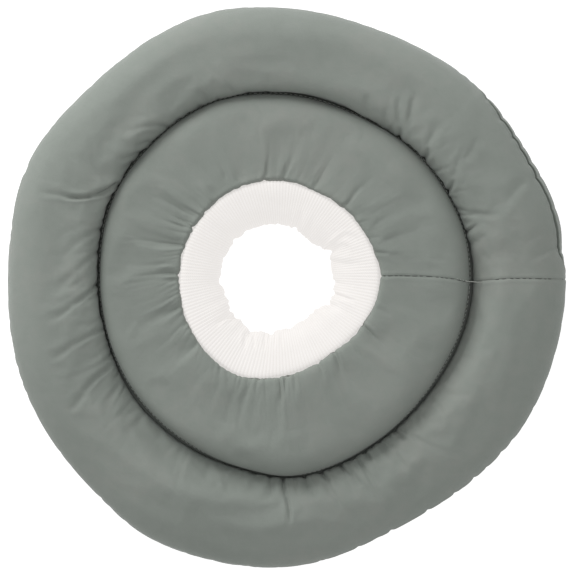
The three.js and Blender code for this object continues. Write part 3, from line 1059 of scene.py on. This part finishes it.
def cuff_tube():
    per = 8
    n = RIBS * per
    u = np.arange(n) / n * 360.0
    psi = np.radians(np.concatenate([section_columns(44, 0, 180, 12, 12, 2.3, 7.0, 1.4, 0.2),
                                     section_columns(20, 180, 360, 12, 12, 2.3, 7.0, 0.2, 0.8)]))
    m = len(psi)
    c, s = np.cos(psi)[None], np.sin(psi)[None]
    full = np.where(c > 0, 7.0, 2.3)
    sx = np.sign(c) * np.abs(c) ** (2 / full)
    sz = np.sign(s) * np.abs(s) ** (2 / full)
    out = 0.5 + 0.5 * sx                      # 0 at the neck hole, 1 at the sewn edge
    # the elastic bunches the ribs towards the notches
    shift = np.zeros(n)
    for at, deep, wide in zip(CUFF_NOTCHES["deg"], CUFF_NOTCHES["deep"], CUFF_NOTCHES["wide"]):
        if deep > 0:
            off = turn(u, at)
            shift -= 0.55 * deep * off / wide * np.exp(-(off / (2.1 * wide)) ** 2)
    rng = np.random.default_rng(31)
    drift = sum(rng.normal() * 0.5 * np.sin(k * np.radians(u) + rng.uniform(0, 6.28)) / k**0.5 for k in range(2, 12))
    deg = u[:, None] + (shift + drift)[:, None] * (1 - out) ** 1.5
    hole = hole_r(deg)
    for at, deep, wide in zip(CUFF_NOTCHES["deg"], CUFF_NOTCHES["deep"], CUFF_NOTCHES["wide"]):
        hole = hole + deep * np.exp(-(turn(deg, at) / wide) ** 2)
    seam = seam_r(deg) - 0.30
    mid, half = (hole + seam) / 2, (seam - hole) / 2
    # the sewn edge enters the inner tube's groove as a thin tongue
    r = mid + half * sx + 2.0 * np.exp(-(sz * CUFF_TALL / 2 / 2.5) ** 2) * (c > 0)
    # and its shoulder leans out over the inner tube's edge
    r = r + 1.35 * smoothstep(0.80, 0.98, sz) * np.clip(out, 0, 1) ** 6
    tall = (HOLE_TALL + (CUFF_TALL - HOLE_TALL) * out ** 0.8) / 2 * (1 + lumps(deg, 0 * deg, 17, 0.035, 14))
    xy = ray(deg, r, CUFF_CENTRE)
    grid = np.concatenate([xy, (SEAM_Z + sz * tall)[..., None]], -1)
    nor = normals(grid)
    upper = smoothstep(-5.0, 1.0, sz * tall)
    d = fold_field(grid, CUFF_FOLDS, 0.35) * upper * (1 - smoothstep(0.90, 0.98, out))
    arc_hole = arc_from(grid, int(np.argmin(sx[0])))
    d = d + ripples(deg, arc_hole, 80, 41, 0.6, 1.9, 6.0)
    d = d + ripples(deg, arc_from(grid, 0) - 12.0, 60, 42, 0.30, 1.6, 5.0) * upper
    phase = np.tile(np.arange(per) / per, RIBS)
    rib = (0.5 + 0.5 * np.cos(2 * np.pi * phase)) ** 0.7
    pitch = np.radians(360.0 / RIBS) * r
    d = d + (rib[:, None] - 0.62) * RIB_DEEP * pitch
    grid = grid + nor * d[..., None]
    # knit coordinates: u counts ribs, v is the length along them
    arc = arc_from(grid, 0)
    arc = np.concatenate([arc, (arc[:, -1] + np.linalg.norm(grid[:, 0] - grid[:, -1], axis=-1))[:, None]], 1)
    ur = np.arange(n + 1) / per * 0.0018
    vr = arc.mean(0) * 0.001
    uv = np.zeros((n, m, 4, 2))
    for k, (di, dj) in enumerate(((0, 0), (0, 1), (1, 1), (1, 0))):
        uv[:, :, k, 0] = ur[np.arange(n) + di][:, None]
        uv[:, :, k, 1] = vr[np.arange(m) + dj][None]
    return grid, uv


def on_surface(objects, plan):
    """Where the surface lies under places of the plan view, and its normal, for several pieces (mm)."""
    trees = []
    for obj in objects:
        co = np.zeros(len(obj.data.vertices) * 3, np.float32)
        obj.data.vertices.foreach_get("co", co)
        faces = np.zeros(len(obj.data.loops), np.int32)
        obj.data.loops.foreach_get("vertex_index", faces)
        trees.append(BVHTree.FromPolygons(co.reshape(-1, 3).tolist(), faces.reshape(-1, 4).tolist()))
    spots, ups = [], []
    eye = Vector((SHIFT[0] * 0.001, SHIFT[1] * 0.001, (CAMERA_Z + 20) * 0.001))
    for x, y in plan:
        way = (Vector((x * 0.001, y * 0.001, 0.020)) - eye).normalized()
        hits = [h for h in (t.ray_cast(eye, way) for t in trees) if h[0] is not None]
        hit = min(hits, key=lambda h: h[3])
        up = hit[1] if hit[1].z > 0 else -hit[1]
        spots.append(np.array(hit[0]) * 1000)
        ups.append(np.array(up))
    return np.array(spots), np.array(ups)


def closing_stitches(objects):
    """Ends of the hand-sewn closing seam's stitches along its path: dark ones in the dip, irregular in length."""
    path = to_plan(CLOSING_SEAM["x"], CLOSING_SEAM["y"])
    run = np.concatenate([[0], np.cumsum(np.linalg.norm(np.diff(path, axis=0), axis=1))])
    rng = np.random.default_rng(77)
    spans = []
    for lo, hi in ((383.0, 466.0), (485.0, 563.0)):
        at = np.interp(lo, CLOSING_SEAM["x"], run)
        end = np.interp(hi, CLOSING_SEAM["x"], run)
        while at < end:
            long = rng.choice([1.7, 2.0, 2.4, 3.4, 4.6]) * rng.uniform(0.85, 1.1)
            spans.append((at, min(at + long, end)))
            at += long + rng.uniform(0.55, 0.85)
    spans = np.array(spans)
    ends = [np.stack([np.interp(spans[:, k], run, path[:, c]) for c in (0, 1)], -1) for k in (0, 1)]
    a, _ = on_surface(objects, ends[0])
    b, _ = on_surface(objects, ends[1])
    mid, up = on_surface(objects, (ends[0] + ends[1]) / 2)
    along = b - a
    long = np.linalg.norm(along, axis=1)
    keep = (long < 7) & (np.abs(along[:, 2]) < 4)
    return mid[keep], along[keep] / long[keep][:, None], up[keep], long[keep]


# ---- materials -----------------------------------------------------------------------------------

def nodes_of(name):
    mat = bpy.data.materials.new(name)
    mat.use_nodes = True
    tree = mat.node_tree
    bsdf = tree.nodes["Principled BSDF"]
    return mat, tree, bsdf


def math_node(tree, op, a, b=None, c=None):
    node = tree.nodes.new("ShaderNodeMath")
    node.operation = op
    for k, v in enumerate((a, b, c)):
        if v is None:
            continue
        if isinstance(v, (int, float)):
            node.inputs[k].default_value = v
        else:
            tree.links.new(v, node.inputs[k])
    return node.outputs[0]


def noise_node(tree, vector, scale, detail=3.0, rough=0.5):
    node = tree.nodes.new("ShaderNodeTexNoise")
    node.inputs["Scale"].default_value = scale
    node.inputs["Detail"].default_value = detail
    node.inputs["Roughness"].default_value = rough
    if vector is not None:
        tree.links.new(vector, node.inputs["Vector"])
    return node.outputs["Fac"]


def ramp_node(tree, fac, stops):
    node = tree.nodes.new("ShaderNodeValToRGB")
    node.color_ramp.elements[0].position, node.color_ramp.elements[0].color = stops[0][0], (*stops[0][1], 1)
    node.color_ramp.elements[1].position, node.color_ramp.elements[1].color = stops[-1][0], (*stops[-1][1], 1)
    for pos, col in stops[1:-1]:
        e = node.color_ramp.elements.new(pos)
        e.color = (*col, 1)
    tree.links.new(fac, node.inputs["Fac"])
    return node.outputs["Color"]


def bump_node(tree, height, strength, distance, below=None):
    node = tree.nodes.new("ShaderNodeBump")
    node.inputs["Strength"].default_value = strength
    node.inputs["Distance"].default_value = distance
    tree.links.new(height, node.inputs["Height"])
    if below is not None:
        tree.links.new(below, node.inputs["Normal"])
    return node.outputs["Normal"]


def shell_material(name, tint=1.0):
    """Plain-woven grey-green cloth: fine threads both ways, faint slubs and broad uneven dye."""
    mat, tree, bsdf = nodes_of(name)
    uv = tree.nodes.new("ShaderNodeUVMap")
    uv.uv_map = "fabric"
    sep = tree.nodes.new("ShaderNodeSeparateXYZ")
    tree.links.new(uv.outputs[0], sep.inputs[0])
    obj = tree.nodes.new("ShaderNodeTexCoord")
    pitch = 2 * math.pi / 0.00042
    su = math_node(tree, "SINE", math_node(tree, "MULTIPLY", sep.outputs[0], pitch))
    sv = math_node(tree, "SINE", math_node(tree, "MULTIPLY", sep.outputs[1], pitch))
    weave = math_node(tree, "MULTIPLY", su, sv)
    slub = noise_node(tree, uv.outputs[0], 900.0, 2.0, 0.6)
    broad = noise_node(tree, obj.outputs["Object"], 16.0, 3.0, 0.55)
    mid = noise_node(tree, obj.outputs["Object"], 140.0, 3.0, 0.6)
    mix = math_node(tree, "ADD", math_node(tree, "MULTIPLY", broad, 0.62), math_node(tree, "MULTIPLY", mid, 0.38))
    # tint darkens the whole colour; below 1 it is painted shade
    base = ramp_node(tree, mix, [
        (0.30, (0.188 * tint, 0.209 * tint, 0.188 * tint)),
        (0.50, (0.203 * tint, 0.2245 * tint, 0.203 * tint)),
        (0.70, (0.222 * tint, 0.237 * tint, 0.216 * tint)),
    ])
    thread = tree.nodes.new("ShaderNodeMix")
    thread.data_type = "RGBA"
    thread.blend_type = "MULTIPLY"
    thread.inputs["Factor"].default_value = 1.0
    tone = ramp_node(tree, math_node(tree, "MULTIPLY_ADD", weave, 0.5, 0.5), [(0.0, (0.90, 0.90, 0.90)), (1.0, (1.0, 1.0, 1.0))])
    tree.links.new(base, thread.inputs[6])
    tree.links.new(tone, thread.inputs[7])
    tree.links.new(thread.outputs[2], bsdf.inputs["Base Color"])
    rough = math_node(tree, "MULTIPLY_ADD", slub, 0.14, 0.70)
    tree.links.new(rough, bsdf.inputs["Roughness"])
    bsdf.inputs["Sheen Weight"].default_value = 0.10
    bsdf.inputs["Sheen Roughness"].default_value = 0.45
    bsdf.inputs["Specular IOR Level"].default_value = 0.28
    n1 = bump_node(tree, weave, 0.35, 0.00008)
    n2 = bump_node(tree, slub, 0.25, 0.00018, n1)
    n3 = bump_node(tree, mid, 0.22, 0.0009, n2)
    tree.links.new(n3, bsdf.inputs["Normal"])
    return mat


def knit_material(name):
    """Off-white rib knit: rows of small loops along each rib, a little fuzz; painted warm shade in the valleys between
    ribs, and a painted glow that lifts all its shading.
    """
    mat, tree, bsdf = nodes_of(name)
    uv = tree.nodes.new("ShaderNodeUVMap")
    uv.uv_map = "fabric"
    sep = tree.nodes.new("ShaderNodeSeparateXYZ")
    tree.links.new(uv.outputs[0], sep.inputs[0])
    obj = tree.nodes.new("ShaderNodeTexCoord")
    # loops lean left and right of each rib's middle, so a row reads as small chevrons
    ribs = math_node(tree, "MULTIPLY", sep.outputs[0], 1 / 0.0018)
    inrib = math_node(tree, "ABSOLUTE", math_node(tree, "SUBTRACT", math_node(tree, "FRACT", math_node(tree, "ADD", ribs, 0.5)), 0.5))
    slant = math_node(tree, "MULTIPLY_ADD", inrib, 0.0011, sep.outputs[1])
    rows = math_node(tree, "SINE", math_node(tree, "MULTIPLY", slant, 2 * math.pi / 0.0011))
    fuzz = noise_node(tree, obj.outputs["Object"], 1500.0, 3.0, 0.7)
    broad = noise_node(tree, obj.outputs["Object"], 60.0, 3.0, 0.5)
    base = ramp_node(tree, broad, [
        (0.30, (0.186, 0.179, 0.172)),
        (0.70, (0.196, 0.190, 0.184)),
    ])
    shade = tree.nodes.new("ShaderNodeMix")
    shade.data_type = "RGBA"
    shade.blend_type = "MULTIPLY"
    shade.inputs["Factor"].default_value = 1.0
    # painted shade: the colour is darker and warmer in the valleys between the ribs
    tone = ramp_node(tree, inrib, [(0.0, (1.0, 1.0, 1.0)), (0.30, (0.992, 0.99, 0.987)), (0.5, (0.95, 0.94, 0.925))])
    tree.links.new(base, shade.inputs[6])
    tree.links.new(tone, shade.inputs[7])
    tree.links.new(shade.outputs[2], bsdf.inputs["Base Color"])
    tree.links.new(math_node(tree, "MULTIPLY_ADD", fuzz, 0.1, 0.82), bsdf.inputs["Roughness"])
    # painted light: the knit glows by emission to lift its shading evenly, dimmer in the valleys between ribs as
    # painted shade
    glow = ramp_node(tree, inrib, [(0.0, (0.965, 0.937, 0.917)), (0.28, (0.955, 0.926, 0.905)), (0.5, (0.905, 0.872, 0.845))])
    tree.links.new(glow, bsdf.inputs["Emission Color"])
    bsdf.inputs["Emission Strength"].default_value = 0.70
    bsdf.inputs["Sheen Weight"].default_value = 0.10
    bsdf.inputs["Sheen Roughness"].default_value = 0.5
    bsdf.inputs["Specular IOR Level"].default_value = 0.2
    n1 = bump_node(tree, rows, 0.45, 0.0001)
    n2 = bump_node(tree, fuzz, 0.3, 0.0001, n1)
    tree.links.new(n2, bsdf.inputs["Normal"])
    return mat


def thread_material(name, colour):
    """Twisted sewing thread."""
    mat, tree, bsdf = nodes_of(name)
    obj = tree.nodes.new("ShaderNodeTexCoord")
    wave = tree.nodes.new("ShaderNodeTexWave")
    wave.wave_type = "BANDS"
    wave.bands_direction = "DIAGONAL"
    wave.inputs["Scale"].default_value = 900.0
    tree.links.new(obj.outputs["Object"], wave.inputs["Vector"])
    tree.links.new(ramp_node(tree, wave.outputs["Fac"], [(0.0, tuple(0.8 * c for c in colour)), (1.0, colour)]), bsdf.inputs["Base Color"])
    bsdf.inputs["Roughness"].default_value = 0.55
    tree.links.new(bump_node(tree, wave.outputs["Fac"], 0.3, 0.00006), bsdf.inputs["Normal"])
    return mat


# ---- the pieces ----------------------------------------------------------------------------------

def place(obj, mat, node=None):
    obj.data.materials.append(mat)
    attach(obj, "root")
    if node:
        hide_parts(node)
    return obj


shell = shell_material("shell_cloth")
knit = knit_material("rib_knit_cloth")
# painted shade: the channel strip's cloth has its colour darkened (tint 0.55) to stand for the shade deep in the
# channel
shell_painted_shade = shell_material("shell_cloth_painted_shade", 0.55)
thread_light = thread_material("channel_thread", (0.37, 0.40, 0.36))
thread_dark = thread_material("closing_thread", (0.035, 0.038, 0.034))
thread_pale = thread_material("pale_thread", (0.45, 0.47, 0.43))

deg_o, grid_o, js_o = outer_tube()
outer = place(closed_grid("outer_tube_cloth", grid_o, panel_uv(deg_o, grid_o, 26, js_o)), shell, "outer_ring")
deg_i, grid_i, js_i = inner_tube()
inner = place(closed_grid("inner_tube_cloth", grid_i, panel_uv(deg_i, grid_i, 33, js_i)), shell, "inner_ring")
deg_s, grid_s = stitched_strip()
uv_s = np.zeros((*grid_s.shape[:2], 4, 2))
for k_, (di_, dj_) in enumerate(((0, 0), (0, 1), (1, 1), (1, 0))):
    g_ = np.roll(np.roll(grid_s, -di_, 0), -dj_, 1)
    uv_s[:, :, k_] = g_[..., :2] * 0.001
# the stitched strip wears the cloth with painted shade
strip = place(closed_grid("channel_strip_cloth", grid_s, uv_s), shell_painted_shade, "channel_seam")
grid_c, uv_c = cuff_tube()
cuff = place(closed_grid("neck_cuff_knit", grid_c, uv_c), knit, "neck_cuff")

# Two rows of lockstitch along the strip, above and below.
count = 243
for name, height, sign in (("channel_stitches_front", 2.80, 1.0), ("channel_stitches_back", -2.55, -1.0)):
    cs, ds, ns = [], [], []
    for row, off, lag in ((0, 0.36, 0.0), (1, -0.36, 0.3)):
        a_ = (np.arange(count) + lag) * 360.0 / count
        p_ = ray(a_, channel_r(a_) + off)
        q_ = ray(a_ + 0.2, channel_r(a_ + 0.2) + off)
        t_ = (q_ - p_) / np.linalg.norm(q_ - p_, axis=1, keepdims=True)
        cs.append(np.concatenate([p_, np.full((count, 1), SEAM_Z + height)], 1))
        ds.append(np.concatenate([t_, np.zeros((count, 1))], 1))
    cs, ds = np.concatenate(cs), np.concatenate(ds)
    out_ = np.cross(ds, [0, 0, 1.0])
    ds = ds + 0.05 * out_
    ds /= np.linalg.norm(ds, axis=1, keepdims=True)
    ns = np.tile([0, 0, sign], (len(cs), 1))
    place(threads(name, cs, ds, ns, 1.95, 0.20, 0.13, 3), thread_light)

mid_, way_, up_, long_ = closing_stitches([outer, inner])
place(threads("closing_seam_stitches", mid_, way_, up_, long_, 0.20, 0.06, 5), thread_dark)

# One long pale stitch of the closing seam crosses the channel, and a few show beside it.
ends_, tops_ = on_surface([outer, inner], to_plan([465.0, 482.0, 457.5, 460.5, 463.0, 466.0], [281.2, 282.4, 279.0, 279.4, 280.2, 280.6]))
cross_ = ends_[1] - ends_[0]
pale_mid = np.concatenate([(ends_[:1] + ends_[1:2]) / 2 + [0, 0, 0.2], ends_[2:]])
pale_way = np.concatenate([cross_[None] / np.linalg.norm(cross_), np.tile([0.94, -0.34, 0.0], (4, 1))])
pale_long = np.array([np.linalg.norm(cross_), 1.0, 1.0, 1.0, 1.0])
place(threads("closing_seam_pale_stitches", pale_mid, pale_way, np.tile([0, 0, 1.0], (5, 1)), pale_long, 0.17, 0.12, 6), thread_pale)

# ---- floor, light, camera ------------------------------------------------------------------------

scene = bpy.context.scene
scene.view_settings.view_transform = "Standard"
scene.view_settings.look = "None"
scene.view_settings.exposure = 0.0
scene.view_settings.gamma = 1.0

floor_mesh = bpy.data.meshes.new("floor")
floor_mesh.from_pydata([(-3, -3, 0), (3, -3, 0), (3, 3, 0), (-3, 3, 0)], [], [(0, 1, 2, 3)])
floor = bpy.data.objects.new("floor", floor_mesh)
scene.collection.objects.link(floor)
floor.location.z = -0.0002
fmat, ftree, fbsdf = nodes_of("floor_paper")
fbsdf.inputs["Base Color"].default_value = (0.34, 0.34, 0.34, 1)
fbsdf.inputs["Roughness"].default_value = 0.9
fbsdf.inputs["Specular IOR Level"].default_value = 0.1
fbsdf.inputs["Emission Color"].default_value = (1, 1, 1, 1)
fbsdf.inputs["Emission Strength"].default_value = 0.86
floor_mesh.materials.append(fmat)

world = bpy.data.worlds.new("studio")
scene.world = world
world.use_nodes = True
world.node_tree.nodes["Background"].inputs[0].default_value = (1.0, 1.0, 1.0, 1)
world.node_tree.nodes["Background"].inputs[1].default_value = 0.62


def softbox(name, place_at, aim, size, power, colour=(1, 1, 1)):
    light = bpy.data.lights.new(name, "AREA")
    light.shape = "SQUARE"
    light.size = size
    light.energy = power
    light.color = colour
    obj = bpy.data.objects.new(name, light)
    obj.location = place_at
    obj.rotation_euler = (Vector(aim) - Vector(place_at)).to_track_quat("-Z", "Y").to_euler()
    scene.collection.objects.link(obj)
    return obj


softbox("key_upper_left", (-1.08, 1.67, 0.72), (0, 0, 0), 1.1, 36.0)
softbox("top_fill", (0.0, 0.2, 2.9), (0, 0, 0), 1.8, 24.0)

cam = bpy.data.cameras.new("camera")
cam.sensor_width = 36.0
cam.lens = 36.0 * CAMERA_Z / (576 * PX)
cam.clip_end = 20.0
camera = bpy.data.objects.new("camera", cam)
camera.location = ((288.0 - PICTURE_CENTRE[0]) * PX * 0.001 + SHIFT[0] * 0.001,
                   (PICTURE_CENTRE[1] - 288.0) * PX * 0.001 + SHIFT[1] * 0.001,
                   (CAMERA_Z + 20.0) * 0.001)
scene.collection.objects.link(camera)
scene.camera = camera
